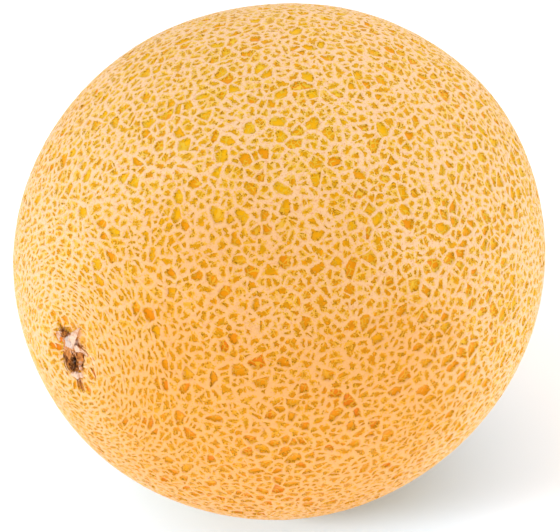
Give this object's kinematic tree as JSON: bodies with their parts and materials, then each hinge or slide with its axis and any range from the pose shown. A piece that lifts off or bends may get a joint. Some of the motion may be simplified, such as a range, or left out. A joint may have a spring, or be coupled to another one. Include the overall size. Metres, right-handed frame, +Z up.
{
  "type": "melon",
  "caption": "Whole netted melon lying on its side, slightly oval, with a raised corky net over orange skin and a dry stalk remnant in a shallow scar.",
  "frame": {"origin": "under the middle of the fruit, on the surface that it rests on", "axes": "+Z up; X along the fruit's long axis with the stem end at -X; Y across it"},
  "size_m": [0.1538, 0.1452, 0.144],
  "materials": {
    "rind": "matte",
    "dry_stalk": "matte"
  },
  "bodies": {
    "root": {"melon": "rind", "stem_remnant": "dry_stalk"}
  },
  "joints": []
}
